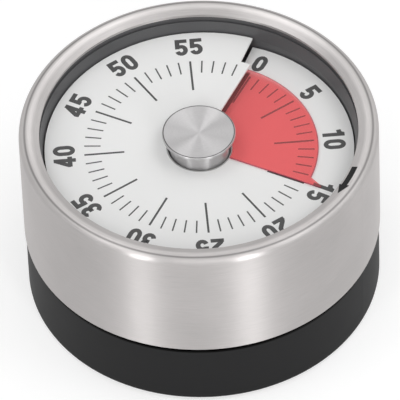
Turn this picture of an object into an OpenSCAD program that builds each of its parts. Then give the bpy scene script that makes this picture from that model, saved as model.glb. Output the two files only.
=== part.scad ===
// Visual countdown timer: a turning steel top over a fixed base, a helical
// white dial with a slit, and a red film that winds out of the slit.
// Millimetres, +Z up, minute 0 at +Y, minutes run clockwise seen from above.

/* [Overall] */
// Outside diameter of the steel shell
shell_d = 79; // [74:0.5:88]
// Height of the top edge of the steel shell
shell_top = 46; // [45:0.5:50]
// Sheet thickness of the steel shell
shell_t = 0.6; // [0.4:0.1:0.8]
// Radius of the rounded outer edge at the top
lip_round = 1.5; // [1:0.1:2]
// Width of the flat crest between rounded edge and slope
lip_crest = 0.5; // [0.2:0.1:0.8]
// Width of the lip, from the outside to the opening
lip_w = 4.5; // [4.3:0.1:5.5]
// How far the lip slopes down to the opening
lip_drop = 0.8; // [0.2:0.1:1.1]

/* [Base] */
// Height of the black base below the steel shell
base_h = 16.8; // [16.5:0.1:17.4]
// How far the base is set in from the steel shell
base_step = 0.3; // [0.1:0.05:1]
// Gap between base and steel shell
seam_gap = 0.5; // [0.3:0.1:1]
// Rounding at the bottom edge of the base
base_round = 1; // [0.5:0.1:2]
// Thickness of the base wall at the neck
neck_t = 1.5; // [1:0.1:1.6]
// Height of the guiding neck above the base shoulder
neck_h = 7; // [4:0.5:8]
// Thickness of the base floor
floor_t = 2.9; // [2.8:0.1:3.1]
// How far the rubber ring stands out below the base
foot_proud = 0.5; // [0.3:0.1:0.8]
// Distance from the side of the base to the rubber ring
foot_inset = 3.2; // [2.8:0.1:3.4]
// Width of the rubber ring
foot_w = 2.4; // [1.6:0.1:2.8]
// Depth of the groove that holds the rubber ring
foot_seat = 0.7; // [0.4:0.1:1]
// Diameter of each magnet
magnet_d = 16; // [10:0.5:18]
// Thickness of each magnet
magnet_t = 2; // [1:0.1:2.1]
// Distance of each magnet from the centre
magnet_r = 14; // [12:0.5:15]

/* [Dial] */
// Gap between the white dial and the well around it
dial_gap = 1; // [0.9:0.1:2]
// Height of the dial face at 30 minutes
dial_z = 39.7; // [39.5:0.1:39.9]
// Thickness of the dial sheet
dial_t = 0.5; // [0.3:0.05:0.6]
// Rise of the dial over one turn
dial_lead = 2; // [1.9:0.05:2.2]
// Extra dip of the dial beside the slit
dial_dip = 0.8; // [0:0.1:0.8]
// Angle over which the extra dip fades out
dip_span = 72; // [40:2:90]
// Angle by which the outer slit is set back
jog_a = 5; // [4.6:0.1:6]
// Width of the number band, outside the inner slit
number_w = 7.6; // [7:0.1:8]
// Wall of the tube that carries the dial
hub_wall = 0.25; // [0.2:0.05:0.35]
// Thickness of the floor inside the dial tube
hub_floor = 0.8; // [0.5:0.1:0.8]

/* [Red film] */
// How far the film stays inside the number band
film_inset = 0.2; // [0.2:0.1:2]
// Thickness of the red film
film_t = 0.2; // [0.15:0.05:0.25]
// Clearance between dial face and film
film_gap = 0.15; // [0.1:0.01:0.2]
// Length of the pointer finger beyond the film
finger_l = 3.1; // [1.5:0.1:4.5]
// Angle taken by the root of the pointer finger
finger_a = 4.2; // [3:0.1:4.4]
// Angle that the whole film spans
film_span = 372; // [370:1:374]
// Width of the collar that guides the film
collar_w = 2; // [1:0.1:3]
// Height of the collar that guides the film
collar_h = 0.8; // [0.6:0.1:0.8]
// Minutes shown as drawn
rest_min = 15; // [5:1:55]

/* [Knob] */
// Diameter of the knob cap
cap_d = 16.1; // [14.8:0.1:20]
// Thickness of the knob cap
cap_t = 0.8; // [0.6:0.1:1.2]
// Diameter of the knob body
knob_d = 13; // [12.7:0.1:13.3]
// Open gap between the knob body and the dial around it
knob_gap = 0.5; // [0.3:0.05:0.6]
// Height of the knob cap above the dial face at 30 minutes
knob_rise = 4.95; // [4.4:0.05:5.8]
// Depth of the dished top of the knob
dish = 0.4; // [0.1:0.05:0.5]

/* [Carrier] */
// Wall of the carrier skirt
skirt_t = 1; // [0.8:0.1:1.3]
// Wall around the dial well
well_wall = 1.8; // [1.2:0.1:2]
// How far above the dial the tapered wall of the well ends
taper_rise = 0.3; // [0:0.1:1]
// Height of the shadow groove under the lip
groove_h = 1.4; // [0.8:0.1:2]
// Depth of the shadow groove under the lip
groove_d = 0.4; // [0.2:0.1:0.6]
// Height of the top face of the carrier web
web_z = 33.9; // [33.8:0.05:34]
// Thickness of the carrier web
web_t = 2; // [1.5:0.1:2.2]
// Height of the ribs under the web
rib_h = 2; // [1:0.1:2.4]
// Thickness of the ribs under the web
rib_t = 1.2; // [0.8:0.1:2]
// Radius of the carrier hub
hub_r = 7.3; // [7.1:0.05:7.4]
// Width of the key on the carrier hub
key_w = 1.6; // [1:0.1:2]
// Height of the key above the carrier hub
key_h = 0.7; // [0.4:0.1:0.8]

/* [Movement] */
// Radius of the fixed centre post
post_r = 2.5; // [2.4:0.05:2.6]
// Wall of the hollow main arbor
arbor_wall = 0.64; // [0.5:0.02:0.8]
// Across flats of the hexagon that drives the carrier
hex_af = 9; // [8.4:0.1:9.4]
// Room between the movement plates and the base wall
plate_room = 1.55; // [1:0.05:1.6]
// Thickness of the movement plates
plate_t = 0.8; // [0.6:0.1:1]
// Underside of the back plate above the table
back_z = 9.8; // [9.7:0.1:10]
// Distance between the movement plates
plate_gap = 15; // [14.8:0.1:15.2]
// Edge of the plates outside each pillar
pillar_edge = 2.2; // [2:0.1:2.6]
// Radius of each pillar
pillar_r = 2.3; // [2:0.1:2.4]
// Outside radius of the gong
gong_r = 24; // [20:0.2:24.4]
// Sheet thickness of the gong
gong_t = 0.8; // [0.6:0.1:1]
// Number of coils of the mainspring
spring_turns = 7; // [4:1:9]
// Strip thickness of the mainspring
spring_t = 0.35; // [0.25:0.05:0.45]
// Strip height of the mainspring
spring_h = 4.6; // [3:0.1:4.8]

/* [Gear train] */
// Teeth of the main wheel
main_n = 60; // [58:2:62]
// Module of the main wheel
main_m = 0.58; // [0.57:0.01:0.6]
// Teeth of the second pinion
pinion2_n = 10; // [9:1:10]
// Teeth of the second wheel
second_n = 48; // [44:2:50]
// Module of the second wheel
second_m = 0.45; // [0.42:0.01:0.46]
// Teeth of the third pinion
pinion3_n = 8; // [8:1:9]
// Teeth of the third wheel
third_n = 48; // [44:2:48]
// Module of the third wheel
third_m = 0.4; // [0.36:0.01:0.4]
// Teeth of the escape pinion
pinion4_n = 8; // [8:1:9]
// Teeth of the escape wheel
escape_n = 15; // [12:1:18]
// Radius of the escape wheel
escape_r = 6; // [5:0.1:6.1]
// Thickness of every wheel
wheel_t = 0.8; // [0.5:0.1:1]
// Radius of the small arbors
pin_r = 0.9; // [0.8:0.05:1]
// Radius of the pivots of the small arbors
pivot_r = 0.6; // [0.4:0.05:0.7]

/* [Fits] */
// Radial clearance of shafts that turn in a hole
run_fit = 0.06; // [0.03:0.01:0.08]
// Clearance between fixed neighbours
seat_fit = 0.05; // [0.03:0.01:0.08]
// Clearance between large turning shells
shell_fit = 0.3; // [0.2:0.05:0.4]
// Extra centre distance of each gear mesh
mesh_gap = 0.1; // [0.06:0.02:0.16]

/* [Hidden] */
$fn = 64;

shell_r = shell_d / 2;
well_r = shell_r - lip_w;
slope_t = shell_t * norm([shell_r - lip_round - lip_crest - well_r, lip_drop])
    / (shell_r - lip_round - lip_crest - well_r);
seam_z = base_h + seam_gap;
base_r = shell_r - base_step;
foot_r = base_r - foot_inset - foot_w;
skirt_or = shell_r - shell_t - seat_fit;
skirt_ir = skirt_or - skirt_t;
neck_r = skirt_ir - shell_fit;
cup_ir = neck_r - neck_t;
plate_r = cup_ir - plate_room;
pillar_pcr = plate_r - pillar_edge - pillar_r;
floor_z = foot_proud + floor_t;

rest_a = rest_min * 6;
dial_r = well_r - dial_gap;
jog_r = dial_r - number_w;                       // radius of the step in the slit
film_r = jog_r - film_inset;
finger_r = film_r + finger_l;
knob_top = dial_z + knob_rise;
tube_ir = knob_d / 2 + knob_gap;
tube_or = tube_ir + hub_wall;
film_ir = tube_or + 0.3;
low_z = dial_z - dial_lead / 2 - dial_dip;       // dial face beside minute 0
floor_top = low_z - dial_t - 0.1;                // inside of the dial tube
hub_z = floor_top - hub_floor;                   // underside of the dial tube
collar_ir = hub_r + run_fit;
collar_z = web_z + 0.25 + dial_lead * rest_a / 360;
hub_top = hub_z - 0.2;

flange_z = back_z - 1.8;                         // underside of the post flange
flange_h = 1;
arbor_r = post_r + run_fit + arbor_wall;
arbor_bot = flange_z + flange_h + 0.1;
front_z = back_z + plate_t + plate_gap;
front_top = front_z + plate_t;
stack_z = back_z + plate_t;                      // lowest point between plates
spring_z = stack_z + 0.6;
collar1_z = stack_z + 5.4;
main_z = collar1_z + 1;
second_z = main_z + 2.4;
third_z = second_z + 1.8;
escape_z = third_z + 2;
nut_z = web_z - web_t;
hex_z = nut_z - 4;
hex_h = 3;
spacer_r = 4.5;
clip_t = 0.5;
clip_z = web_z + 0.5;
cut = 2 * shell_top;                             // length of a cut that goes right through

// Places of the train, as angles and distances in the movement
mesh1 = main_m * (main_n + pinion2_n) / 2 + mesh_gap;
mesh2 = second_m * (second_n + pinion3_n) / 2 + mesh_gap;
mesh3 = third_m * (third_n + pinion4_n) / 2 + mesh_gap;
second_p = [mesh1, 0];
third_dist = mesh1 + 1;
third_a = acos((mesh1 ^ 2 + third_dist ^ 2 - mesh2 ^ 2) / (2 * mesh1 * third_dist));
third_p = third_dist * [cos(third_a), sin(third_a)];
escape_dist = mesh1 - 1;
escape_a = third_a + acos((third_dist ^ 2 + escape_dist ^ 2 - mesh3 ^ 2)
    / (2 * third_dist * escape_dist));
escape_p = escape_dist * [cos(escape_a), sin(escape_a)];
anchor_reach = escape_r + 2.6;
anchor_a = escape_a + 90;
anchor_p = escape_p + anchor_reach * [cos(anchor_a), sin(anchor_a)];
pillar_as = [62, 182, 302];
hammer_a = 200;
hammer_r = 20;
hammer_p = hammer_r * [cos(hammer_a), sin(hammer_a)];
head_a = hammer_a + 25;
head_r = gong_r + 2.3;

// A gap of the driven gear faces a tooth of the driving gear
function mesh_turn(line, turn, n1, n2) = line + 180 - (turn - line) * n1 / n2 + 180 / n2;
turn_main = 0;
turn_p2 = mesh_turn(0, turn_main, main_n, pinion2_n);
line2 = atan2(third_p[1] - second_p[1], third_p[0] - second_p[0]);
turn_p3 = mesh_turn(line2, 0, second_n, pinion3_n);
line3 = atan2(escape_p[1] - third_p[1], escape_p[0] - third_p[0]);
turn_p4 = mesh_turn(line3, 0, third_n, pinion4_n);

function polar(r, a) = [r * sin(a), r * cos(a)];  // clockwise from +Y
function arc(c, r, a0, a1, n) = [for (i = [0:n])
    c + r * [cos(a0 + (a1 - a0) * i / n), sin(a0 + (a1 - a0) * i / n)]];

function strip(q, d) = (q[0] + d) * [cos(q[1]), sin(q[1])];

// ---- helical sheets ------------------------------------------------------

function ramp(a) = dial_z + dial_lead * (a / 360 - 0.5);
function dip(a) = dial_dip * pow(max(0, 1 - a / dip_span), 2);
function face_z(a) = ramp(a) - dip(a);
function film_z(p) = ramp(rest_a - p) + film_gap;

// A ring of sections [angle, inner radius, outer radius, bottom, top]
module swept(s) {
    n = len(s);
    pts = [for (q = s) each [
        concat(polar(q[1], q[0]), q[3]), concat(polar(q[2], q[0]), q[3]),
        concat(polar(q[2], q[0]), q[4]), concat(polar(q[1], q[0]), q[4])]];
    sides = [[2, 3], [1, 2], [0, 1], [3, 0]];
    faces = concat(
        [for (i = [0:n - 2]) for (e = sides) each [
            [4 * i + e[0], 4 * i + 4 + e[0], 4 * i + 4 + e[1]],
            [4 * i + e[0], 4 * i + 4 + e[1], 4 * i + e[1]]]],
        [[2, 3, 0], [2, 0, 1]],
        [[4 * n - 1, 4 * n - 2, 4 * n - 3], [4 * n - 1, 4 * n - 3, 4 * n - 4]]);
    polyhedron(pts, faces);
}

// Film edge: a short finger, cut radially in front and sloping behind
function edge_r(p) = film_r + (finger_r - film_r) *
    max(0, min(1, 0.8 + p / 1.5, 1 - (p - 0.9) / (finger_a - 0.9)));

// A sheet over a grid of angles and radii; has(i, j) says which cells exist
module sheet(as, rs, thick, missing) {
    m = len(rs);
    n = len(as);
    function has(i, j) = i >= 0 && i < n - 1 && j >= 0 && j < m - 1
        && len([for (c = missing) if (c[0] == i && c[1] == j) 1]) == 0;
    pts = [for (a = as) for (r = rs) for (z = [face_z(a) - thick, face_z(a)])
        concat(polar(r, a), z)];
    function b(i, j) = 2 * (i * m + j);
    function t(i, j) = b(i, j) + 1;
    quads = [for (i = [0:n - 2]) for (j = [0:m - 2]) if (has(i, j)) each [
        [t(i, j + 1), t(i + 1, j + 1), t(i + 1, j), t(i, j)],
        [b(i, j), b(i + 1, j), b(i + 1, j + 1), b(i, j + 1)],
        if (!has(i, j + 1)) [t(i + 1, j + 1), t(i, j + 1), b(i, j + 1), b(i + 1, j + 1)],
        if (!has(i, j - 1)) [t(i, j), t(i + 1, j), b(i + 1, j), b(i, j)],
        if (!has(i - 1, j)) [t(i, j + 1), t(i, j), b(i, j), b(i, j + 1)],
        if (!has(i + 1, j)) [t(i + 1, j), t(i + 1, j + 1), b(i + 1, j + 1), b(i + 1, j)]]];
    polyhedron(pts, [for (q = quads) each [[q[0], q[1], q[2]], [q[0], q[2], q[3]]]]);
}

module dial_plate() color("white") {
    as = [-jog_a, each [for (a = [0:4:352]) a], 360 - jog_a, 360];
    sheet(as, [tube_ir - 0.02, jog_r, dial_r], dial_t, [[0, 0], [len(as) - 2, 1]]);
    // ramp under the inner edge, open at the slit
    swept([for (a = [2:4:358]) [a, tube_ir, tube_or, hub_z + 0.3, face_z(a) - 0.2]]);
    difference() {
        translate([0, 0, hub_z]) cylinder(h = hub_floor, r = tube_or + 0.03);
        translate([0, 0, hub_z - 1]) cylinder(h = hub_floor + 2, r = post_r + seat_fit);
    }
}

module red_film() color([0.85, 0.25, 0.28]) {
    tip = [0, 0.3, 0.9, 1.8, 2.7, 3.5, finger_a];
    ps = [each [for (p = [film_span:-4:8]) p], each [for (i = [6:-1:0]) tip[i]]];
    swept([for (p = ps) [rest_a - p, film_ir, edge_r(p), film_z(p), film_z(p) + film_t]]);
    // tail tab that joins the film to its collar
    swept([for (p = [film_span - 1, film_span - 3.5, film_span - 6]) [rest_a - p,
        film_ir + 0.15, collar_ir + collar_w - 0.3,
        collar_z + collar_h / 2, film_z(p) + film_t / 2]]);
    difference() {
        translate([0, 0, collar_z]) cylinder(h = collar_h, r = collar_ir + collar_w);
        translate([0, 0, collar_z - 1]) cylinder(h = collar_h + 2, r = collar_ir);
        translate([-key_w / 2 - seat_fit, 0, collar_z - 1])
            cube([key_w + 2 * seat_fit, hub_r + key_h + seat_fit, collar_h + 2]);
    }
}

// ---- turned and drawn pieces ---------------------------------------------

module steel_shell() color("silver") {
    crest = shell_r - lip_round - lip_crest;
    c = [shell_r - lip_round, shell_top - lip_round];
    rotate_extrude($fn = 128) polygon(concat(
        [[shell_r, seam_z]], arc(c, lip_round, 0, 90, 8),
        [[crest, shell_top], [well_r, shell_top - lip_drop],
         [well_r, shell_top - lip_drop - slope_t], [crest, shell_top - slope_t]],
        arc(c, lip_round - shell_t, 90, 0, 8),
        [[shell_r - shell_t, seam_z]]));
}

module inner_carrier() color([0.3, 0.3, 0.31]) {
    top = shell_top - lip_drop - slope_t - 0.1;
    ledge = top - groove_h;
    bot_r = dial_r + shell_fit;
    difference() {
        union() {
            rotate_extrude($fn = 128) polygon([
                [skirt_ir, seam_z + 0.6], [skirt_or, seam_z + 0.6],
                [skirt_or, top - lip_round], [skirt_or - 0.9, top],
                [well_r + groove_d, top], [well_r + groove_d, ledge],
                [well_r, ledge], [bot_r, dial_z + taper_rise],
                [bot_r, web_z], [hub_r - 1, web_z],
                [hub_r - 1, web_z - web_t], [bot_r + well_wall, web_z - web_t],
                [well_r + well_wall, ledge - 1.5], [skirt_ir, ledge - 1.5]]);
            translate([0, 0, hex_z - 0.5]) cylinder(h = hub_top - hex_z + 0.5, r = hub_r);
            translate([-key_w / 2, 0, web_z - 0.5])
                cube([key_w, hub_r + key_h, hub_top - web_z + 0.5]);
            for (i = [0:5]) rotate(i * 60 + 30)
                translate([hub_r - 0.5, -rib_t / 2, web_z - web_t - rib_h])
                    cube([bot_r + well_wall - hub_r - 0.2, rib_t, rib_h + 0.1]);
        }
        translate([0, 0, hex_z - 1]) cylinder(h = cut, r = arbor_r + seat_fit);
        translate([0, 0, hex_z - 1])
            cylinder(h = hex_h + 1.05, d = (hex_af + 2 * seat_fit) / cos(30), $fn = 6);
        translate([0, 0, nut_z]) cylinder(h = cut, r = spacer_r + run_fit);
    }
}

module centre_knob() color("silver") {
    cap_z = knob_top - cap_t;
    difference() {
        union() {
            translate([0, 0, floor_top]) cylinder(h = cap_z - floor_top + 0.1, r = knob_d / 2);
            rotate_extrude() polygon([[0, cap_z], [cap_d / 2 - 0.1, cap_z],
                [cap_d / 2, cap_z + 0.1], [cap_d / 2, knob_top - 0.15],
                [cap_d / 2 - 0.15, knob_top], [cap_d / 2 - 0.45, knob_top],
                // dish, flat at its very centre
                each [for (i = [1:6]) [(cap_d / 2 - 0.45) * (1 - i / 6),
                    knob_top - dish * (1 - pow(1 - min(i, 5) / 6, 2))]]]);
        }
        translate([0, 0, floor_top - 1])
            cylinder(h = cap_z - floor_top - 0.5, r = post_r + seat_fit);
    }
}

module base_cup() color([0.13, 0.13, 0.14]) difference() {
    union() {
        rotate_extrude($fn = 128) polygon(concat(
            [[0, foot_proud]],
            arc([base_r - base_round, foot_proud + base_round], base_round, -90, 0, 6),
            [[base_r, base_h - 0.3], [base_r - 0.3, base_h], [neck_r, base_h],
             [neck_r, base_h + neck_h - 0.4], [neck_r - 0.4, base_h + neck_h],
             [cup_ir, base_h + neck_h], [cup_ir, floor_z], [0, floor_z]]));
        translate([0, 0, floor_z - 0.1]) cylinder(h = flange_z - gong_t - floor_z + 0.1, r = 6);
        for (a = pillar_as) rotate(a) translate([pillar_pcr, 0, floor_z - 0.1])
            cylinder(h = back_z - floor_z + 0.1, r = 3.2);
        for (a = pillar_as) rotate(a) translate([pillar_pcr, -0.6, floor_z - 0.1])
            cube([cup_ir - pillar_pcr + 0.2, 1.2, back_z - floor_z - 1]);
    }
    translate([0, 0, floor_z + 0.5]) cylinder(h = cut, r = post_r - 0.5 + seat_fit);
    for (a = pillar_as) rotate(a) translate([pillar_pcr, 0, -1]) {
        cylinder(h = 30, r = 1.6);
        cylinder(h = foot_proud + 1 + 1.8, r = 3);
    }
    difference() {
        translate([0, 0, -1]) cylinder(h = 1 + foot_proud + foot_seat, r = foot_r + foot_w + seat_fit);
        translate([0, 0, -2]) cylinder(h = 5, r = foot_r - seat_fit);
    }
    for (s = [-1, 1]) translate([0, s * magnet_r, -1])
        cylinder(h = 1 + foot_proud + magnet_t, d = magnet_d + 2 * seat_fit);
}

module foot_ring() color([0.1, 0.1, 0.1]) difference() {
    cylinder(h = foot_proud + foot_seat, r = foot_r + foot_w, $fn = 96);
    translate([0, 0, -1]) cylinder(h = 9, r = foot_r, $fn = 96);
}

module magnets() color([0.4, 0.4, 0.42])
    for (s = [-1, 1]) translate([0, s * magnet_r, foot_proud])
        cylinder(h = magnet_t, d = magnet_d);

module base_screws() color([0.6, 0.6, 0.62])
    for (a = pillar_as) rotate(a) translate([pillar_pcr, 0, foot_proud + 0.2]) difference() {
        union() {
            cylinder(h = 1.6, r = 2.7);
            cylinder(h = 14, r = 1.45);
        }
        for (t = [0, 90]) rotate(t) translate([-1.6, -0.3, -0.1]) cube([3.2, 0.6, 0.9]);
    }

// ---- fixed movement parts ------------------------------------------------

module centre_post() color([0.7, 0.7, 0.72]) {
    translate([0, 0, floor_z + 0.6]) cylinder(h = flange_z - floor_z, r = post_r - 0.5);
    translate([0, 0, flange_z]) cylinder(h = flange_h, r = 5);
    difference() {
        translate([0, 0, flange_z]) cylinder(h = knob_top - cap_t - 1.8 - flange_z, r = post_r);
        translate([0, 0, clip_z]) difference() {
            cylinder(h = clip_t + 0.1, r = post_r + 1);
            translate([0, 0, -1]) cylinder(h = 3, r = post_r - 0.5);
        }
    }
}

module post_clip() color([0.45, 0.45, 0.47]) translate([0, 0, clip_z + 0.05]) difference() {
    cylinder(h = clip_t, r = 4.1);
    translate([0, 0, -1]) cylinder(h = 3, r = post_r - 0.5 + seat_fit);
    translate([-1.4, 0, -1]) cube([2.8, 9, 3]);
}

module dial_spacer() color([0.75, 0.65, 0.4]) difference() {
    translate([0, 0, clip_z + clip_t + 0.05]) cylinder(h = hub_z - clip_z - clip_t - 0.05, r = spacer_r);
    cylinder(h = cut, r = post_r + seat_fit);
}

module gong() color([0.75, 0.75, 0.77]) {
    z1 = flange_z;
    rim = z1 - 4;
    bend = 2.6;
    rotate_extrude($fn = 96) polygon(concat(
        [[post_r - 0.5 + seat_fit, z1 - gong_t], [post_r - 0.5 + seat_fit, z1]],
        arc([gong_r - bend, z1 - bend], bend, 90, 0, 6),
        [[gong_r, rim], [gong_r - gong_t, rim]],
        arc([gong_r - bend, z1 - bend], bend - gong_t, 0, 90, 6)));
}

module plate(z) difference() {
    translate([0, 0, z]) cylinder(h = plate_t, r = plate_r, $fn = 96);
    translate([0, 0, z - 1]) {
        cylinder(h = 5, r = arbor_r + run_fit);
        for (p = [second_p, third_p, escape_p, anchor_p, hammer_p])
            translate(p) cylinder(h = 5, r = pivot_r + run_fit);
        for (a = pillar_as) rotate(a) translate([pillar_pcr, 0, 0]) cylinder(h = 5, r = 1.6);
    }
}

module back_plate() color([0.8, 0.7, 0.4]) difference() {
    plate(back_z);
    // window for the hammer stem, open to the rim
    rotate(head_a) translate([head_r - 2.6, -4.5, back_z - 1]) cube([plate_r, 9, 5]);
}

module front_plate() color([0.8, 0.7, 0.4]) difference() {
    plate(front_z);
    // light openings of a stamped plate
    for (a = [240, 330]) rotate(a) translate([19, 0, front_z - 1]) cylinder(h = 5, r = 5);
}

module pillars() color([0.7, 0.6, 0.35])
    for (a = pillar_as) rotate(a) translate([pillar_pcr, 0, stack_z]) difference() {
        cylinder(h = plate_gap, r = pillar_r);
        translate([0, 0, -1]) cylinder(h = 7.5, r = 1.45 + seat_fit);
        translate([0, 0, plate_gap - 4.5]) cylinder(h = 9, r = 1.2 + seat_fit);
    }

module plate_screws() color([0.6, 0.6, 0.62])
    for (a = pillar_as) rotate(a) translate([pillar_pcr, 0, front_top]) difference() {
        union() {
            cylinder(h = 1.5, r = 2.3);
            translate([0, 0, -4.6]) cylinder(h = 5, r = 1.2);
        }
        translate([-3, -0.3, 0.9]) cube([6, 0.6, 2]);
    }

// Spiral strip from the arbor out to a loop on one pillar
module mainspring() color([0.35, 0.37, 0.42]) translate([0, 0, spring_z]) {
    a_end = 182;
    r0 = arbor_r + 0.35;
    r1 = 14;
    steps = spring_turns * 24;
    out = [for (i = [0:steps]) [r0 + (r1 - r0) * i / steps, a_end - 100 - (steps - i) * 15]];
    tail = [for (i = [1:10]) [r1 + (pillar_pcr - pillar_r - 0.7 - r1) * pow(i / 10, 1.6),
        a_end - 100 + 9.8 * i]];
    path = concat(out, tail);
    n = len(path);
    linear_extrude(spring_h) polygon(concat(
        [for (q = path) strip(q, spring_t / 2)],
        [for (i = [n - 1:-1:0]) strip(path[i], -spring_t / 2)]));
    rotate(a_end) translate([pillar_pcr, 0, 0]) difference() {
        cylinder(h = spring_h, r = pillar_r + 0.1 + 2 * spring_t);
        translate([0, 0, -1]) cylinder(h = spring_h + 2, r = pillar_r + 0.1);
    }
}

// ---- turning movement parts ----------------------------------------------

module main_arbor() color([0.7, 0.7, 0.72]) difference() {
    union() {
        translate([0, 0, arbor_bot]) cylinder(h = nut_z + 1.7 - arbor_bot, r = arbor_r);
        translate([0, 0, collar1_z]) cylinder(h = main_z - collar1_z, r = 5.5);
        translate([0, 0, hex_z]) cylinder(h = hex_h, d = hex_af / cos(30), $fn = 6);
    }
    cylinder(h = cut, r = post_r + run_fit);
}

module arbor_nut() color([0.6, 0.6, 0.62]) difference() {
    translate([0, 0, nut_z + 0.02]) cylinder(h = 1.6, d = 7.4 / cos(30), $fn = 6);
    cylinder(h = cut, r = arbor_r + seat_fit);
}

module slip_spring() color([0.55, 0.57, 0.6]) {
    z = main_z + wheel_t + 0.02;
    difference() {
        union() {
            translate([0, 0, z + 0.5]) cylinder(h = 0.3, r = 4.4);
            for (i = [0:3]) rotate(i * 90 + 45) rotate([90, 0, 0])
                translate([0, 0, -1]) linear_extrude(2)
                    polygon([[3.6, z + 0.5], [7, z], [8, z], [8, z + 0.3], [7.1, z + 0.3], [3.6, z + 0.8]]);
        }
        cylinder(h = cut, r = arbor_r + seat_fit);
    }
}

module clutch_ring() color([0.7, 0.7, 0.72]) difference() {
    translate([0, 0, main_z + wheel_t + 0.84]) cylinder(h = 0.9, r = 4.8);
    cylinder(h = cut, r = arbor_r + seat_fit);
}

module strike_cam() color([0.85, 0.85, 0.83]) translate([0, 0, escape_z - 0.6]) difference() {
    linear_extrude(1.6) polygon([for (a = [0:6:354]) (4.6 + 1.2 * a / 354) * [cos(a), sin(a)]]);
    translate([0, 0, -1]) cylinder(h = 9, r = arbor_r + seat_fit);
}

// Tooth outline: tip, pitch and root widths as shares of one pitch
function tooth(n, m, add, ded, tip, root) = let (r = n * m / 2, p = 360 / n) [
    for (i = [0:n - 1]) each [
        [r - ded * m, i * p - root * p / 2], [r + add * m, i * p - tip * p / 2],
        [r + add * m, i * p + tip * p / 2], [r - ded * m, i * p + root * p / 2]]];
module outline(t) polygon([for (q = t) q[0] * [cos(q[1]), sin(q[1])]]);

module wheel(n, m, z, bore, spokes, rim_w, hub) {
    rim = n * m / 2 - 1.2 * m - rim_w;
    translate([0, 0, z]) {
        linear_extrude(wheel_t) difference() {
            outline(tooth(n, m, 0.75, 1.1, 0.2, 0.62));
            circle(r = rim);
        }
        difference() {
            union() {
                cylinder(h = wheel_t, r = hub);
                for (i = [0:spokes - 1]) rotate(i * 360 / spokes + 20)
                    translate([hub - 0.4, -0.8, 0]) cube([rim - hub + 0.7, 1.6, wheel_t]);
            }
            translate([0, 0, -1]) cylinder(h = 9, r = bore);
        }
    }
}

module pinion(n, m, z, h, turn) {
    translate([0, 0, stack_z + 0.1]) cylinder(h = plate_gap - 0.2, r = pin_r);
    translate([0, 0, back_z]) cylinder(h = front_top - back_z, r = pivot_r);
    if (n > 0) translate([0, 0, z]) rotate(turn)
        linear_extrude(h) outline(tooth(n, m, 0.7, 1.1, 0.16, 0.56));
}

module main_wheel() color([0.85, 0.75, 0.4]) rotate(turn_main)
    wheel(main_n, main_m, main_z, arbor_r + seat_fit, 4, 1.8, 8.6);
module second_pinion() color([0.7, 0.7, 0.72]) translate(second_p)
    pinion(pinion2_n, main_m, main_z - 0.6, wheel_t + 1.2, turn_p2);
module second_wheel() color([0.85, 0.75, 0.4]) translate(second_p)
    wheel(second_n, second_m, second_z, pin_r + seat_fit, 4, 1.4, 2.6);
module third_pinion() color([0.7, 0.7, 0.72]) translate(third_p)
    pinion(pinion3_n, second_m, second_z - 0.4, wheel_t + 0.8, turn_p3);
module third_wheel() color([0.85, 0.75, 0.4]) translate(third_p)
    wheel(third_n, third_m, third_z, pin_r + seat_fit, 3, 1.2, 2.2);
module escape_pinion() color([0.7, 0.7, 0.72]) translate(escape_p)
    pinion(pinion4_n, third_m, third_z - 0.4, wheel_t + 0.8, turn_p4);

module escape_wheel() color([0.85, 0.75, 0.4]) translate(concat(escape_p, escape_z)) difference() {
    p = 360 / escape_n;
    linear_extrude(wheel_t) polygon([for (i = [0:escape_n - 1]) each [
        escape_r * [cos(i * p), sin(i * p)],
        escape_r * [cos(i * p + 2), sin(i * p + 2)],
        (escape_r - 1.6) * [cos(i * p + p * 0.55), sin(i * p + p * 0.55)]]]);
    translate([0, 0, -1]) cylinder(h = 9, r = pin_r + seat_fit);
    for (i = [0:3]) rotate(i * 90) translate([2.7, 0, -1]) cylinder(h = 9, r = 0.8);
}

// Pin pallet: two arms with pins that straddle the escape wheel
module anchor() color([0.7, 0.7, 0.72]) translate(anchor_p) {
    pinion(0, 1, 0, 0, 0);
    arm = escape_r + 0.3;
    z = escape_z - 0.3;
    for (s = [-1, 1]) rotate(anchor_a + 180 + s * 52) {
        translate([0.9, -0.6, z - 0.45]) cube([arm - 0.4, 1.2, 0.4]);
        translate([arm, 0, z - 0.25]) cylinder(h = 1.45, r = 0.25);
    }
    translate([0, 0, z - 0.6]) cylinder(h = 1.3, r = 1.5);
}

module balance_wheel() color([0.85, 0.75, 0.4]) translate(concat(anchor_p, second_z - 0.4)) difference() {
    union() {
        difference() {
            cylinder(h = 1.4, r = 6.4);
            translate([0, 0, -1]) cylinder(h = 4, r = 5.1);
        }
        translate([-5.5, -0.7, 0.3]) cube([11, 1.4, 0.8]);
        cylinder(h = 1.4, r = 1.7);
    }
    translate([0, 0, -1]) cylinder(h = 9, r = pin_r + seat_fit);
}

// Lever from the strike cam to a head beside the gong
module hammer() color([0.6, 0.6, 0.62]) {
    z = escape_z - 0.6;
    head = head_r * [cos(head_a), sin(head_a)];
    out = head - hammer_p;
    reach = norm(out);
    translate(hammer_p) {
        pinion(0, 1, 0, 0, 0);
        translate([0, 0, z]) cylinder(h = 1.6, r = 2);
        rotate(hammer_a + 180) translate([0, -0.9, z]) cube([hammer_r - 6.4, 1.8, 1.6]);
        rotate(atan2(out[1], out[0])) translate([0, -0.9, z]) cube([reach + 0.6, 1.8, 1.6]);
    }
    translate(concat(head, flange_z - 3.6)) cylinder(h = z + 1 - flange_z + 3.6, r = 0.7);
    translate(concat(head, flange_z - 3.8)) cylinder(h = 2.8, r = 1.8);
}

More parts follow.
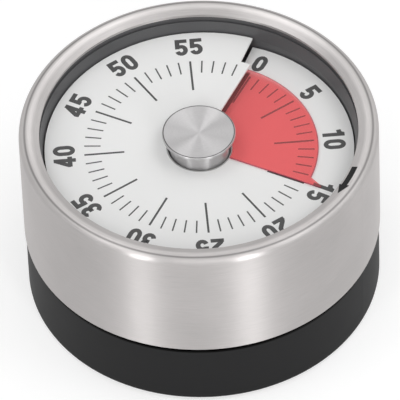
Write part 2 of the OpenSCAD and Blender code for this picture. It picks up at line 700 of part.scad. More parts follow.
// Wire spring: coil round the hammer arbor, one leg on a pillar
module hammer_spring() color([0.5, 0.52, 0.55]) translate([0, 0, escape_z + 1.2]) {
    difference() {
        translate(hammer_p) cylinder(h = 0.6, r = 1.7);
        translate(concat(hammer_p, -1)) cylinder(h = 3, r = pin_r + 0.15);
    }
    end = (pillar_pcr - pillar_r - 0.4) * [cos(182), sin(182)];
    leg = end - hammer_p;
    translate(hammer_p) rotate(atan2(leg[1], leg[0]))
        translate([1.3, -0.25, 0]) cube([norm(leg) - 1.3, 0.5, 0.5]);
}

base_cup();
foot_ring();
magnets();
base_screws();
centre_post();
gong();
back_plate();
front_plate();
pillars();
plate_screws();
post_clip();
dial_spacer();
dial_plate();
centre_knob();
mainspring();
steel_shell();
inner_carrier();
arbor_nut();
main_arbor();
main_wheel();
slip_spring();
clutch_ring();
strike_cam();
red_film();
second_pinion();
second_wheel();
third_pinion();
third_wheel();
escape_pinion();
escape_wheel();
anchor();
balance_wheel();
hammer();
hammer_spring();
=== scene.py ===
from math import cos, hypot, radians, sin

import bmesh
import bpy
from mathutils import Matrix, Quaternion, Vector
from mathutils.bvhtree import BVHTree


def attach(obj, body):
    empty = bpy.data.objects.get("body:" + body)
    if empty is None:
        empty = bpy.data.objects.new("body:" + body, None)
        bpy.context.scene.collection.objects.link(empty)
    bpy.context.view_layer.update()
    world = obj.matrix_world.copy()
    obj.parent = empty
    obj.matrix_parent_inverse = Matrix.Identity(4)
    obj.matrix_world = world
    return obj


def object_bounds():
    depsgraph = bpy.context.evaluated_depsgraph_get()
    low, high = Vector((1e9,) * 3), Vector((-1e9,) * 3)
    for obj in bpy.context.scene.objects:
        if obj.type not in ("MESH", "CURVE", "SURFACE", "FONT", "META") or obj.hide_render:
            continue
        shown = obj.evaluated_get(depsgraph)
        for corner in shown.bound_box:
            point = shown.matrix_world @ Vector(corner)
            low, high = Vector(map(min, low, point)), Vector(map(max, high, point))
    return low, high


# Visual countdown timer. The scene is in metres, +Z up, with minute 0 at +Y and the minutes
# running clockwise. Lengths named here are in millimetres and angles in degrees clockwise
# from minute 0, unless a comment says otherwise.
MM = 0.001
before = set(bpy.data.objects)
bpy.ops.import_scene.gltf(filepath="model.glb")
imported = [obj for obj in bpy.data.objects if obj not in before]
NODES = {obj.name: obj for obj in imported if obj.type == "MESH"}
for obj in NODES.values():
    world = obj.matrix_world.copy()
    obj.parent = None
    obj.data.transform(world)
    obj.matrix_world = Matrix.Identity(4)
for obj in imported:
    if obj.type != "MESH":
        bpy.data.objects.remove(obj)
cad_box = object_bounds()

# ---- printed marks ---------------------------------------------------------

PRINT_RISE = 0.015         # ink above the surface that carries it
PRINT_DEPTH = 0.045        # ink layer, most of it inside that surface

TICK_OUTER = 25.3          # outer end of every tick
MINOR_INNER = 21.7         # inner end of a minute tick
MAJOR_INNER = 16.5         # inner end of a five-minute tick
MINOR_WIDTH = 0.33
MAJOR_WIDTH = 0.47
ZERO_TICK_SHIFT = 1.0      # the tick at 0 stands clear of the slit
TICK_CELLS = 6             # along a tick, so that it follows the dial

NUMBER_R = 29.7            # middle of the number ring
DIGIT_H = 4.9
DIGIT_W = 2.9
DIGIT_GAP = 0.42
STROKE = 1.03
NUMBER_TURN = {0: 1.4, 15: 1.4}   # how far these two stand off their tick
LONGEST_MITRE = 1.6        # reach of a mitred corner, in half strokes

ARROW_TAIL = 84.2
ARROW_NECK = 93.4
ARROW_TIP = 97.9
ARROW_R = 36.1
ARROW_SHAFT = 0.66         # half width
ARROW_HEAD = 1.25          # half width
ARROW_POINT = 0.02         # half width of its tip
ARROW_CELLS, ARROW_ROWS = 10, 4

RAY_START = 0.1            # metres, above the whole object
# metres; a ray that slips between two faces is cast again at these steps beside it
RAY_STEPS = ((0, 0), (3e-6, 1e-6), (-1e-6, 3e-6), (-3e-6, -1e-6), (1e-6, -3e-6))

# ---- red film --------------------------------------------------------------

FILM_FRONT = 90.0          # leading edge of the film at rest
FILM_THICK = 0.2
ROOT_INNER, ROOT_OUTER = 7.3, 7.551
ROOT_PROBE = 0.2           # beyond the root, where its height is read off the film
ROOT_SPAN = 358.0          # backwards from the leading edge
ROOT_CELLS = 90

FILM_TINT = (1.0, 0.365, 0.38)
FILM_PIGMENT = (0.93, 0.3, 0.305)
FILM_BODY = 0.25           # share of light that the pigment returns
# colour and share of the dark cut rim, also used for the painted shadow strip at the leading edge
RIM_AND_SHADOW_COLOR = (0.3, 0.05, 0.09)
RIM_AND_SHADOW_BODY = 0.7        # the same share at the cut edges
RIM = (25.95, 26.1)        # radii between which the cut rim darkens
FINGER = (-0.1, 2.0)       # the finger has no dark rim; behind the leading edge, from and to
# a painted shadow strip on the film, standing in for the shade along its leading edge
FRONT_PAINTED_SHADOW = (-0.1, -0.02, 0.1, 0.25)   # dark strip, behind the leading edge: start, full, fade, end

# ---- grain, and bands of painted light and shade ---------------------------

METAL_RELIEF = 0.00002     # metres, depth of a bump
MOULDED_RELIEF = 0.00001   # metres
NEAR_AXIS = 0.0002         # metres; the turned lines divide by no smaller radius
BLOTCH_SCALE = 60.0        # cells per metre
CLOUD_SCALE = 90.0         # cells per metre
LINE_ROUGHNESS = 0.8       # how much rougher a brighter line is
CLOUD_ROUGHNESS = 1.2      # how much rougher a brighter patch is

LIP_POLISH = (44.2, 45.0)      # heights between which the lip grows smoother
# a painted highlight along the lip's crest
LIP_PAINTED_HIGHLIGHT = (36.6, 37.75)      # radii
# a painted shade line just outside the lip's crest
LIP_PAINTED_SHADE = (37.97, 38.42)    # radii
# a painted shade line round the knob's cap
KNOB_RIM_PAINTED_SHADE = (7.7, 7.92)         # radii
# painted shade on the dial's tube, round the knob's foot
TUBE_PAINTED_SHADE = (0.5, 7.28)         # radii
# a painted shadow on the base, under the running gap below the shell
GAP_PAINTED_SHADOW = (15.95, 17.5)      # heights

# ---- camera, floor, room and lamps -----------------------------------------

CAMERA_TURN = 27.1         # from minute 30 towards minute 15
CAMERA_RISE = 47.625       # above the table
CAMERA_ROLL = 2.34         # about its line of sight
CAMERA_REACH = 1.55121     # metres from the pivot, which camera and lamps stand round
CAMERA_FAR = 20            # metres
CAMERA_LENS = 630
CAMERA_SENSOR = 36
PIVOT_UP = 0.02            # metres
# the point that the camera looks at, in metres from the middle of the underside
AIM_RIGHT = -0.000325
AIM_AWAY = 0.00125
AIM_UP = 0.02114

FLOOR_HALF = 1.6           # metres from its middle to an edge
FLOOR_DROP = 0.02
FLOOR_GLOW = 0.58          # light of its own, where the camera or a mirror sees it
ROOM = (-0.2, 0.9, 0.3, 0.58)   # sine of the rise from and to, light there from and to
MIRROR = (0.0, 0.8, 0.7, 1.0)   # the same, as gloss sees the room

LAMP_REACH = 0.9           # metres
# name, turn to the camera's right, rise, width and height in metres, watts
LAMPS = (
    ("key_low", 0, 40, 0.5, 0.2, 0.9),
    ("key_left", -70, 60, 0.25, 0.4, 0.57),
    ("key_right", 70, 60, 0.25, 0.4, 0.79),
    ("side_right", 110, 50, 0.4, 0.4, 0.56),
    ("back_right", 138, 28, 0.5, 0.4, 0.42),
    ("back_left", 222, 28, 0.5, 0.4, 0.22),
    ("crown_right", 126, 66, 0.24, 0.2, 0.14),
    ("crown_left", 234, 66, 0.24, 0.2, 0.36),
    ("left_strip", -34, 8, 0.13, 0.7, 2.5),
    ("right_strip", 24, 8, 0.13, 0.7, 2.98),
)


# ---- mesh helpers ----------------------------------------------------------

def on_dial(r, a):
    """Point at radius r and angle a, in metres, at height 0."""
    return Vector((r * MM * sin(radians(a)), r * MM * cos(radians(a)), 0))


def surface_of(node):
    mesh = NODES[node].data
    return BVHTree.FromPolygons([v.co.copy() for v in mesh.vertices],
                                [tuple(p.vertices) for p in mesh.polygons])


def height_at(tree, x, y):
    """Height of the surface under a point."""
    for dx, dy in RAY_STEPS:
        hit = tree.ray_cast(Vector((x + dx, y + dy, RAY_START)), Vector((0, 0, -1)))[0]
        if hit is not None:
            return hit.z
    return tree.find_nearest(Vector((x, y, cad_box[1][2])))[0].z


def lay_on(bm, tree):
    """Drops flat marks straight down until they lie on the surface."""
    for v in bm.verts:
        v.co.z = height_at(tree, v.co.x, v.co.y) + PRINT_RISE * MM


def thicken(bm, rise):
    """Gives a sheet its thickness: a copy of its faces is raised or lowered, and the sides close."""
    made = bmesh.ops.extrude_face_region(bm, geom=list(bm.faces))["geom"]
    moved = [part for part in made if isinstance(part, bmesh.types.BMVert)]
    bmesh.ops.translate(bm, verts=moved, vec=(0, 0, rise * MM))


def ink(bm):
    """Gives flat marks their thickness, downwards into what carries them."""
    thicken(bm, PRINT_DEPTH)
    bmesh.ops.translate(bm, verts=bm.verts, vec=(0, 0, -PRINT_DEPTH * MM))
    bmesh.ops.recalc_face_normals(bm, faces=bm.faces)


def new_object(name, bm, material):
    mesh = bpy.data.meshes.new(name)
    bm.to_mesh(mesh)
    bm.free()
    mesh.materials.append(material)
    obj = bpy.data.objects.new(name, mesh)
    bpy.context.scene.collection.objects.link(obj)
    return obj


def piece(name, bm, body, material):
    """A visible piece that moves with a body and takes the finish of a slot."""
    obj = new_object(name, bm, material)
    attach(obj, body)


def grid(bm, columns, rows=1):
    """A flat grid whose vertices come back as [column][row]."""
    made = bmesh.ops.create_grid(bm, x_segments=columns, y_segments=rows, size=0.5)["verts"]
    ordered = sorted(made, key=lambda v: (round(v.co.x, 6), v.co.y))
    step = rows + 1
    return [ordered[i * step:(i + 1) * step] for i in range(columns + 1)]


# ---- digits: centre lines in a box DIGIT_W by DIGIT_H, from its lower left --

def bow(x, y, wide, high, start, end, steps=12):
    """Points along part of an ellipse round x, y; wide and high are its half axes.

    The angles start and end are measured counterclockwise from its right.
    """
    turns = [radians(start + (end - start) * i / steps) for i in range(steps + 1)]
    return [(x + wide * cos(turn), y + high * sin(turn)) for turn in turns]


def digit_lines(digit):
    """The centre lines of one of the digits 0 to 5, each as a list of points."""
    half = STROKE / 2
    left, right, mid = half, DIGIT_W - half, DIGIT_W / 2
    foot, head = half, DIGIT_H - half
    wide = (right - left) / 2
    if digit == "0":
        top = bow(mid, head - 1.25, wide, 1.25, 0, 180)
        low = bow(mid, foot + 1.25, wide, 1.25, 180, 360)
        return [top + low + top[:1]]
    if digit == "1":
        stem = [(mid + 0.38, 0), (mid + 0.38, DIGIT_H)]
        flag = [(0.42, 3.62), (1.05, 3.72), (1.5, 4.05), (1.72, 4.62)]
        return [stem, flag]
    if digit == "2":
        neck = bow(mid, head - 1.12, wide, 1.12, 165, -32)
        slope = [(left + 0.22, foot + 0.62), (left + 0.12, foot - 0.1)]
        base = [(0, foot), (DIGIT_W, foot)]
        return [neck + slope, base]
    if digit == "3":
        upper = bow(mid - 0.04, head - 0.98, wide - 0.08, 0.98, 160, -82)
        lower = bow(mid, foot + 1.1, wide, 1.1, 82, -160)
        waist = [(1.05, 2.52), (1.7, 2.52)]
        return [upper, lower, waist]
    if digit == "4":
        stem = [(right - 0.5, 0), (right - 0.5, DIGIT_H)]
        slope = [(right - 0.62, head - 0.05), (left - 0.1, 1.62), (left - 0.1, 1.2)]
        bar = [(0, 1.32), (DIGIT_W + 0.05, 1.32)]
        return [stem, slope, bar]
    roof = [(left + 0.1, head), (DIGIT_W - 0.1, head)]
    back = [(left + 0.16, DIGIT_H), (left + 0.08, 2.05)]
    bowl = bow(mid, foot + 1.12, wide, 1.12, 118, -162, 14)
    return [roof, back, bowl]


def stroke(bm, line, place):
    """A flat band along a line of points, with mitred corners."""
    last = len(line) - 1
    closed = hypot(line[0][0] - line[-1][0], line[0][1] - line[-1][1]) < 1e-6
    for i, pair in enumerate(grid(bm, last)):
        before = line[i - 1] if i else (line[last - 1] if closed else None)
        after = line[i + 1] if i < last else (line[1] if closed else None)
        here = Vector(line[i])
        way_in = (here - Vector(before)).normalized() if before else None
        way_out = (Vector(after) - here).normalized() if after else None
        way_in, way_out = way_in or way_out, way_out or way_in
        along = (way_in + way_out).normalized()
        reach = 1 / max(1 / LONGEST_MITRE, along.dot(way_in))
        across = Vector((-along.y, along.x)) * STROKE / 2 * reach
        for v, side in zip(pair, (1, -1)):
            v.co = place(here + across * side)


# ---- shader helpers --------------------------------------------------------

FLOAT, COLOR = "NodeSocketFloat", "NodeSocketColor"


class Graph:
    """The nodes of a material, a group or the world, with short ways to add and join them."""

    def __init__(self, tree):
        self.nodes = tree.nodes
        self.links = tree.links

    def add(self, kind):
        return self.nodes.new(kind)

    def feed(self, socket, value):
        """Sets a socket to a number or an RGB tuple, or joins another socket to it."""
        if isinstance(value, (int, float)):
            socket.default_value = value
        elif isinstance(value, tuple):
            socket.default_value = (*value, 1)
        else:
            self.links.new(value, socket)

    def maths(self, operation, *values):
        node = self.add("ShaderNodeMath")
        node.operation = operation
        for socket, value in zip(node.inputs, values):
            self.feed(socket, value)
        return node.outputs[0]

    def times(self, a, b):
        return self.maths("MULTIPLY", a, b)

    def plus(self, a, b):
        return self.maths("ADD", a, b)

    def minus(self, a, b):
        return self.maths("SUBTRACT", a, b)

    def larger(self, a, b):
        return self.maths("MAXIMUM", a, b)

    def swing(self, value, share):
        """Turns a noise round 0.5 into one round 0, as strong as the share."""
        return self.times(self.minus(value, 0.5), share)

    def spread(self, value, low, high, to_low=0.0, to_high=1.0):
        """Maps low to high onto another range, and holds the value at both ends of it."""
        node = self.add("ShaderNodeMapRange")
        for socket, v in zip(node.inputs, (value, low, high, to_low, to_high)):
            self.feed(socket, v)
        return node.outputs[0]

    def band(self, value, start, full, fade, end):
        """A mask that is 1 from full to fade, and falls to 0 at start and end, all in millimetres."""
        return self.times(self.spread(value, start * MM, full * MM), self.spread(value, end * MM, fade * MM))

    def mixed(self, factor, a, b):
        """Mixes two colours; on this node their sockets are 6 and 7, and the result is 2."""
        node = self.add("ShaderNodeMix")
        node.data_type = "RGBA"
        for i, value in ((0, factor), (6, a), (7, b)):
            self.feed(node.inputs[i], value)
        return node.outputs[2]

    def brightened(self, color, value):
        node = self.add("ShaderNodeHueSaturation")
        self.feed(node.inputs["Color"], color)
        self.feed(node.inputs["Value"], value)
        return node.outputs[0]

    def noise(self, vector, scale, detail=2.0, rough=0.5):
        node = self.add("ShaderNodeTexNoise")
        self.feed(node.inputs["Vector"], vector)
        self.feed(node.inputs["Scale"], scale)
        self.feed(node.inputs["Detail"], detail)
        self.feed(node.inputs["Roughness"], rough)
        return node.outputs["Fac"]

    def point(self):
        return self.add("ShaderNodeTexCoord").outputs["Object"]

    def place(self):
        """Object coordinates as x, y and z, with the distance from the Z axis."""
        parts = self.add("ShaderNodeSeparateXYZ")
        self.feed(parts.inputs[0], self.point())
        x, y, z = parts.outputs
        radius = self.maths("SQRT", self.plus(self.times(x, x), self.times(y, y)))
        return {"x": x, "y": y, "z": z, "radius": radius}


def new_group(name, inputs, outputs):
    """A node group, its graph, the sockets that it is given and the sockets that it fills."""
    group = bpy.data.node_groups.new(name, "ShaderNodeTree")
    for title, kind, value in inputs:
        socket = group.interface.new_socket(name=title, in_out="INPUT", socket_type=kind)
        socket.default_value = value
    for title, kind in outputs:
        group.interface.new_socket(name=title, in_out="OUTPUT", socket_type=kind)
    given = group.nodes.new("NodeGroupInput").outputs
    wanted = group.nodes.new("NodeGroupOutput").inputs
    return group, Graph(group), given, wanted


def make_turned_grain():
    """Fine lines that run round the Z axis, as on brushed or turned metal."""
    group, graph, given, wanted = new_group(
        "turned_grain",
        (("Metal", COLOR, (0.6, 0.6, 0.6, 1)), ("Line Density", FLOAT, 9000.0), ("Arc Length", FLOAT, 14.0),
         ("Tone", FLOAT, 0.12), ("Roughness", FLOAT, 0.3), ("Blotch", FLOAT, 0.05)),
        (("Color", COLOR), ("Roughness", FLOAT), ("Height", FLOAT)))
    place = graph.place()
    safe = graph.larger(place["radius"], NEAR_AXIS)
    lines = graph.add("ShaderNodeCombineXYZ")
    for socket, side in zip(lines.inputs, (place["x"], place["y"])):
        graph.feed(socket, graph.times(graph.maths("DIVIDE", side, safe), given["Arc Length"]))
    across = graph.minus(place["radius"], place["z"])
    graph.feed(lines.inputs[2], graph.times(across, given["Line Density"]))
    fine = graph.noise(lines.outputs[0], scale=1.0, detail=3.0, rough=0.65)
    tone = graph.swing(fine, given["Tone"])
    blotch = graph.swing(graph.noise(graph.point(), BLOTCH_SCALE), given["Blotch"])
    shade = graph.plus(graph.plus(tone, blotch), 1.0)
    graph.feed(wanted["Color"], graph.brightened(given["Metal"], shade))
    graph.feed(wanted["Roughness"], graph.plus(given["Roughness"], graph.times(tone, LINE_ROUGHNESS)))
    graph.feed(wanted["Height"], fine)
    return group


def make_fine_grain():
    """Even fine grain of a moulded, rolled or cast surface."""
    group, graph, given, wanted = new_group(
        "fine_grain",
        (("Base", COLOR, (0.5, 0.5, 0.5, 1)), ("Grain Scale", FLOAT, 4000.0), ("Tone", FLOAT, 0.08),
         ("Roughness", FLOAT, 0.4), ("Cloud", FLOAT, 0.06)),
        (("Color", COLOR), ("Roughness", FLOAT), ("Height", FLOAT)))
    point = graph.point()
    fine = graph.noise(point, given["Grain Scale"])
    tone = graph.swing(fine, given["Tone"])
    cloud = graph.swing(graph.noise(point, CLOUD_SCALE, detail=3.0), given["Cloud"])
    shade = graph.plus(graph.plus(tone, cloud), 1.0)
    graph.feed(wanted["Color"], graph.brightened(given["Base"], shade))
    graph.feed(wanted["Roughness"], graph.plus(given["Roughness"], graph.times(cloud, CLOUD_ROUGHNESS)))
    graph.feed(wanted["Height"], fine)
    return group


TURNED = make_turned_grain()
GRAIN = make_fine_grain()


def shader_of(material):
    return material.node_tree.nodes["Principled BSDF"]


def new_material(name):
    material = bpy.data.materials.new(name)
    material.use_nodes = True
    return material, Graph(material.node_tree), shader_of(material)


def place_group(graph, group, bsdf, values, bump, relief):
    """Puts a group in a material, feeds the shader from it and gives back its colour."""
    node = graph.add("ShaderNodeGroup")
    node.node_tree = group
    for name, value in values.items():
        graph.feed(node.inputs[name], value)
    graph.feed(bsdf.inputs["Base Color"], node.outputs["Color"])
    graph.feed(bsdf.inputs["Roughness"], node.outputs["Roughness"])
    if bump:
        raised = graph.add("ShaderNodeBump")
        graph.feed(raised.inputs["Strength"], bump)
        graph.feed(raised.inputs["Distance"], relief)
        graph.feed(raised.inputs["Height"], node.outputs["Height"])
        graph.feed(bsdf.inputs["Normal"], raised.outputs[0])
    return node.outputs["Color"]


def turned_metal(name, color, roughness, stretch=0.0, density=9000.0, tone=0.12, arc=14.0, bump=0.0,
                 blotch=0.05):
    material, graph, bsdf = new_material(name)
    bsdf.inputs["Metallic"].default_value = 1.0
    values = {"Metal": color, "Line Density": density, "Arc Length": arc, "Tone": tone,
              "Roughness": roughness, "Blotch": blotch}
    place_group(graph, TURNED, bsdf, values, bump, METAL_RELIEF)
    if stretch:
        bsdf.inputs["Anisotropic"].default_value = stretch
        bsdf.inputs["Anisotropic Rotation"].default_value = 0.25
        round_axis = graph.add("ShaderNodeTangent")
        round_axis.direction_type = "RADIAL"
        round_axis.axis = "Z"
        graph.feed(bsdf.inputs["Tangent"], round_axis.outputs[0])
    return material


def grained(name, color, roughness, metallic=0.0, scale=4000.0, tone=0.08, cloud=0.06, bump=0.15,
            gloss=0.5):
    material, graph, bsdf = new_material(name)
    bsdf.inputs["Metallic"].default_value = metallic
    bsdf.inputs["Specular IOR Level"].default_value = gloss
    values = {"Base": color, "Grain Scale": scale, "Tone": tone, "Roughness": roughness, "Cloud": cloud}
    place_group(graph, GRAIN, bsdf, values, bump, MOULDED_RELIEF)
    return material


def smoother_above(material, low, high, share):
    """Lets the roughness fall to a share of itself between two heights, as on a polished lip."""
    graph = Graph(material.node_tree)
    rough = shader_of(material).inputs["Roughness"]
    fall = graph.spread(graph.place()["z"], low * MM, high * MM, 1.0, share)
    graph.feed(rough, graph.times(rough.links[0].from_socket, fall))


def toned(material, measure, low, high, share, soft=0.04):
    """Paints light or shade: takes the base colour's brightness to a share of itself where z or radius is
    from low to high.

    Gives back the mask of that band.
    """
    graph = Graph(material.node_tree)
    color = shader_of(material).inputs["Base Color"]
    band = graph.band(graph.place()[measure], low - soft, low + soft, high - soft, high + soft)
    shade = graph.spread(band, 0.0, 1.0, 1.0, share)
    graph.feed(color, graph.brightened(color.links[0].from_socket, shade))
    return band


# ---- materials -------------------------------------------------------------

def make_brushed_steel():
    """Steel brushed round the shell, with a polished lip: a painted highlight on its crest and a painted
    shade line beyond it.
    """
    material = turned_metal("brushed_steel_shell", (0.49, 0.47, 0.465), 0.5, stretch=0.9, density=7000.0,
                            tone=0.38, arc=9.0, bump=0.2, blotch=0.18)
    smoother_above(material, *LIP_POLISH, share=0.8)
    # painted highlight on the crest, and a painted shade line outside it
    toned(material, "radius", *LIP_PAINTED_HIGHLIGHT, share=1.35, soft=0.35)
    toned(material, "radius", *LIP_PAINTED_SHADE, share=0.58, soft=0.12)
    return material


def make_spun_steel():
    """Turned steel of the knob, with a painted shade line where the cap's top meets its edge."""
    material = turned_metal("spun_steel_knob", (0.57, 0.56, 0.563), 0.42, stretch=0.96, density=5500.0,
                            tone=0.3, arc=5.0, bump=0.1, blotch=0.03)
    # painted shade line round the cap's edge
    toned(material, "radius", *KNOB_RIM_PAINTED_SHADE, share=0.22)
    return material


def make_black_moulding():
    """Matt black of the base, with a painted shadow band at its top, under the running gap to the shell."""
    material = grained("black_moulding", (0.015, 0.015, 0.0155), 0.55, scale=3500.0, tone=0.2, bump=0.12,
                       gloss=0.12)
    # painted shadow band under the running gap
    painted_shadow = toned(material, "z", *GAP_PAINTED_SHADOW, share=0.02, soft=0.1)
    # as metal, the near-black painted shadow band mirrors no light
    Graph(material.node_tree).feed(shader_of(material).inputs["Metallic"], painted_shadow)
    return material


def make_white_dial():
    """Smooth white sheet, with painted shade on the tube that the knob stands in."""
    material = grained("white_dial_sheet", (0.84, 0.84, 0.835), 0.6, scale=3000.0, tone=0.015, cloud=0.02,
                       bump=0.02, gloss=0.35)
    # painted shade on the tube
    toned(material, "radius", *TUBE_PAINTED_SHADE, share=0.5)
    return material


def make_red_film():
    """Clear red film: tints what lies under it, is darker along its cut rim, and has a painted shadow strip
    along its leading edge.
    """
    material, graph, bsdf = new_material("clear_red_film")
    values = {"Base": FILM_PIGMENT, "Grain Scale": 900.0, "Tone": 0.03, "Roughness": 0.34, "Cloud": 0.06}
    pigment = place_group(graph, GRAIN, bsdf, values, 0.03, METAL_RELIEF)
    place = graph.place()
    right = graph.maths("GREATER_THAN", place["x"], 0.0)
    behind = graph.maths("GREATER_THAN", place["y"], FINGER[0] * MM)
    near = graph.maths("LESS_THAN", place["y"], FINGER[1] * MM)
    finger = graph.times(right, graph.times(behind, near))
    rim = graph.times(graph.spread(place["radius"], RIM[0] * MM, RIM[1] * MM), graph.minus(1.0, finger))
    # painted shadow strip along the leading edge; with the dark cut rim it makes one mask
    front_shadow = graph.times(graph.band(place["y"], *FRONT_PAINTED_SHADOW), right)
    rim_and_shadow = graph.larger(rim, front_shadow)
    graph.feed(bsdf.inputs["Base Color"], graph.mixed(rim_and_shadow, pigment, RIM_AND_SHADOW_COLOR))

    # light is tinted as it enters and passes freely as it leaves
    inside = graph.add("ShaderNodeNewGeometry").outputs["Backfacing"]
    clear = graph.add("ShaderNodeBsdfTransparent")
    graph.feed(clear.inputs["Color"], graph.mixed(inside, FILM_TINT, (1.0, 1.0, 1.0)))
    share = graph.spread(rim_and_shadow, 0.0, 1.0, FILM_BODY, RIM_AND_SHADOW_BODY)
    blend = graph.add("ShaderNodeMixShader")
    graph.feed(blend.inputs[0], graph.times(share, graph.minus(1.0, inside)))
    graph.feed(blend.inputs[1], clear.outputs[0])
    graph.feed(blend.inputs[2], bsdf.outputs[0])
    graph.feed(graph.nodes["Material Output"].inputs["Surface"], blend.outputs[0])
    return material


brushed_steel = make_brushed_steel()
spun_steel = make_spun_steel()
turned_steel = turned_metal("turned_steel", (0.58, 0.58, 0.59), 0.28, density=6000.0, tone=0.1)
black_moulding = make_black_moulding()
dark_moulding = grained("dark_grey_moulding", (0.078, 0.078, 0.081), 0.42, scale=3500.0, tone=0.12, bump=0.1)
rubber = grained("black_rubber", (0.018, 0.018, 0.018), 0.75, scale=2500.0, tone=0.25, cloud=0.15, bump=0.3)
white_dial = make_white_dial()
dark_ink = grained("dark_grey_ink", (0.068, 0.068, 0.068), 0.6, scale=5000.0, cloud=0.05, bump=0.0)
black_ink = grained("black_ink", (0.013, 0.013, 0.013), 0.6, scale=5000.0, tone=0.1, cloud=0.05, bump=0.0,
                    gloss=0.2)
nickel = grained("nickel_plate", (0.66, 0.64, 0.61), 0.22, metallic=1.0, scale=2500.0, tone=0.05, cloud=0.1,
                 bump=0.03)
zinc = grained("zinc_plate", (0.56, 0.57, 0.59), 0.32, metallic=1.0, scale=3000.0, cloud=0.2, bump=0.05)
brass = grained("stamped_brass", (0.76, 0.56, 0.26), 0.3, metallic=1.0, scale=2500.0, cloud=0.18, bump=0.05)
spring_steel = grained("spring_steel", (0.36, 0.38, 0.43), 0.3, metallic=1.0, scale=3000.0, cloud=0.2,
                       bump=0.04)
natural_plastic = grained("natural_moulding", (0.74, 0.73, 0.68), 0.4, scale=2500.0, tone=0.04, bump=0.06)
red_film = make_red_film()

FINISHES = (
    (brushed_steel, ("steel_shell",)),
    (spun_steel, ("centre_knob",)),
    (turned_steel, ("centre_post", "main_arbor", "clutch_ring", "second_pinion", "third_pinion",
                    "escape_pinion")),
    (black_moulding, ("base_cup",)),
    (dark_moulding, ("inner_carrier",)),
    (rubber, ("foot_ring",)),
    (white_dial, ("dial_plate",)),
    (nickel, ("magnets", "gong")),
    (zinc, ("base_screws", "plate_screws", "arbor_nut", "anchor", "hammer")),
    (brass, ("back_plate", "front_plate", "pillars", "dial_spacer", "main_wheel")),
    (spring_steel, ("post_clip", "mainspring", "slip_spring", "hammer_spring")),
    (natural_plastic, ("strike_cam", "second_wheel", "third_wheel", "escape_wheel", "balance_wheel")),
    (red_film, ("red_film",)),
)
for finish, node_names in FINISHES:
    for node_name in node_names:
        for slot in NODES[node_name].material_slots:
            slot.material = finish

# ---- printed marks and the root of the film --------------------------------

dial_surface = surface_of("dial_plate")
shell_surface = surface_of("steel_shell")
film_surface = surface_of("red_film")


def make_ticks():
    bm = bmesh.new()
    for minute in range(60):
        major = minute % 5 == 0
        angle = minute * 6 + (ZERO_TICK_SHIFT if minute == 0 else 0)
        inner, width = (MAJOR_INNER, MAJOR_WIDTH) if major else (MINOR_INNER, MINOR_WIDTH)
        side = on_dial(1, angle + 90) * width / 2
        for i, pair in enumerate(grid(bm, TICK_CELLS)):
            middle = on_dial(inner + (TICK_OUTER - inner) * i / TICK_CELLS, angle)
            for v, sign in zip(pair, (1, -1)):
                v.co = middle + side * sign
    lay_on(bm, dial_surface)
    ink(bm)
    piece("minute_ticks", bm, "base", dark_ink)


def make_numbers():
    bm = bmesh.new()
    foot = NUMBER_R - DIGIT_H / 2
    for number in range(0, 60, 5):
        text = str(number)
        angle = number * 6 + NUMBER_TURN.get(number, 0)
        out, side = on_dial(1, angle), on_dial(1, angle + 90)
        width = len(text) * DIGIT_W + (len(text) - 1) * DIGIT_GAP
        for k, digit in enumerate(text):
            shift = k * (DIGIT_W + DIGIT_GAP) - width / 2
            for line in digit_lines(digit):
                stroke(bm, line, lambda p: out * (foot + p.y) + side * (shift + p.x))
    lay_on(bm, dial_surface)
    ink(bm)
    piece("dial_numbers", bm, "base", dark_ink)


def make_arrow():
    bm = bmesh.new()
    shaft = (ARROW_TAIL, ARROW_NECK, ARROW_SHAFT, ARROW_SHAFT)
    head = (ARROW_NECK, ARROW_TIP, ARROW_HEAD, ARROW_POINT)
    for start, end, wide, narrow in (shaft, head):
        for i, column in enumerate(grid(bm, ARROW_CELLS, ARROW_ROWS)):
            angle = start + (end - start) * i / ARROW_CELLS
            half = wide + (narrow - wide) * i / ARROW_CELLS
            for j, v in enumerate(column):
                v.co = on_dial(ARROW_R + half * (2 * j / ARROW_ROWS - 1), angle)
    lay_on(bm, shell_surface)
    ink(bm)
    piece("rim_arrow", bm, "turning_top", black_ink)


def make_film_root():
    """The narrow strip of film beside the tube of the dial, at the height of the film next to it."""
    bm = bmesh.new()
    for i, column in enumerate(grid(bm, ROOT_CELLS)):
        angle = FILM_FRONT - ROOT_SPAN * i / ROOT_CELLS
        beside = on_dial(ROOT_OUTER + ROOT_PROBE, angle)
        for v, r in zip(column, (ROOT_INNER, ROOT_OUTER)):
            v.co = on_dial(r, angle)
            v.co.z = height_at(film_surface, beside.x, beside.y)
    thicken(bm, -FILM_THICK)
    bmesh.ops.recalc_face_normals(bm, faces=bm.faces)
    piece("film_root", bm, "film", red_film)


make_ticks()
make_numbers()
make_arrow()
make_film_root()


# ---- floor, room, camera and lamps -----------------------------------------

def around(turn, rise, reach):
    """A point round the object; turn is degrees from the camera's side, to its right."""
    a, e = radians(CAMERA_TURN + turn), radians(rise)
    return Vector((sin(a) * cos(e) * reach, -cos(a) * cos(e) * reach, sin(e) * reach + PIVOT_UP))


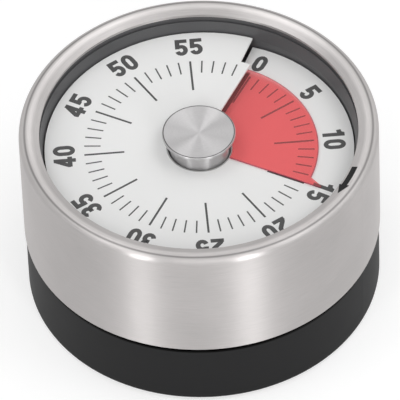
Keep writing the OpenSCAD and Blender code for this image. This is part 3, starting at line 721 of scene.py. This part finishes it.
def make_floor():
    """A pale floor that looks white and still takes the object's shadow."""
    bm = bmesh.new()
    bmesh.ops.create_grid(bm, x_segments=2, y_segments=2, size=FLOOR_HALF)
    bmesh.ops.translate(bm, verts=bm.verts, vec=(0, 0, -FLOOR_DROP * MM))
    material, graph, bsdf = new_material("pale_floor")
    bsdf.inputs["Base Color"].default_value = (0.5, 0.5, 0.5, 1)
    bsdf.inputs["Roughness"].default_value = 0.9
    bsdf.inputs["Specular IOR Level"].default_value = 0.1
    path = graph.add("ShaderNodeLightPath").outputs
    mirrored = graph.larger(path["Is Glossy Ray"], path["Is Transmission Ray"])
    seen = graph.larger(path["Is Camera Ray"], mirrored)
    glow = graph.add("ShaderNodeEmission")
    graph.feed(glow.inputs["Strength"], graph.times(seen, FLOOR_GLOW))
    both = graph.add("ShaderNodeAddShader")
    graph.feed(both.inputs[0], bsdf.outputs[0])
    graph.feed(both.inputs[1], glow.outputs[0])
    graph.feed(graph.nodes["Material Output"].inputs["Surface"], both.outputs[0])
    floor = new_object("floor", bm, material)


def make_world():
    """White to the camera; metal sees a bright room that darkens towards the horizon."""
    world = bpy.data.worlds.new("studio")
    bpy.context.scene.world = world
    world.use_nodes = True
    graph = Graph(world.node_tree)
    parts = graph.add("ShaderNodeSeparateXYZ")
    graph.feed(parts.inputs[0], graph.add("ShaderNodeTexCoord").outputs["Generated"])
    height = parts.outputs[2]
    path = graph.add("ShaderNodeLightPath").outputs
    glossy = graph.larger(path["Is Glossy Ray"], path["Is Transmission Ray"])
    mirrored = graph.times(graph.spread(height, *MIRROR), glossy)
    lit = graph.larger(graph.spread(height, *ROOM), mirrored)
    background = graph.nodes["Background"]
    background.inputs["Color"].default_value = (1, 1, 1, 1)
    graph.feed(background.inputs["Strength"], graph.larger(lit, path["Is Camera Ray"]))


def make_camera():
    data = bpy.data.cameras.new("camera")
    data.sensor_width = CAMERA_SENSOR
    data.lens = CAMERA_LENS
    data.clip_end = CAMERA_FAR
    camera = bpy.data.objects.new("camera", data)
    camera.location = around(0, CAMERA_RISE, CAMERA_REACH)
    a = radians(CAMERA_TURN)
    right, away = Vector((cos(a), sin(a), 0)), Vector((-sin(a), cos(a), 0))
    aim = right * AIM_RIGHT + away * AIM_AWAY + Vector((0, 0, AIM_UP))
    level = (aim - camera.location).to_track_quat("-Z", "Y")
    camera.rotation_mode = "QUATERNION"
    camera.rotation_quaternion = level @ Quaternion((0, 0, 1), radians(-CAMERA_ROLL))
    bpy.context.scene.collection.objects.link(camera)
    bpy.context.scene.camera = camera


def softbox(name, turn, rise, width, height, power):
    lamp = bpy.data.lights.new(name, "AREA")
    lamp.shape = "RECTANGLE"
    lamp.size, lamp.size_y = width, height
    lamp.energy = power
    obj = bpy.data.objects.new(name, lamp)
    obj.location = around(turn, rise, LAMP_REACH)
    obj.rotation_mode = "QUATERNION"
    obj.rotation_quaternion = (Vector((0, 0, PIVOT_UP)) - obj.location).to_track_quat("-Z", "Y")
    bpy.context.scene.collection.objects.link(obj)


make_floor()
make_world()
make_camera()
for lamp_values in LAMPS:
    softbox(*lamp_values)
bpy.context.scene.view_settings.view_transform = "Standard"
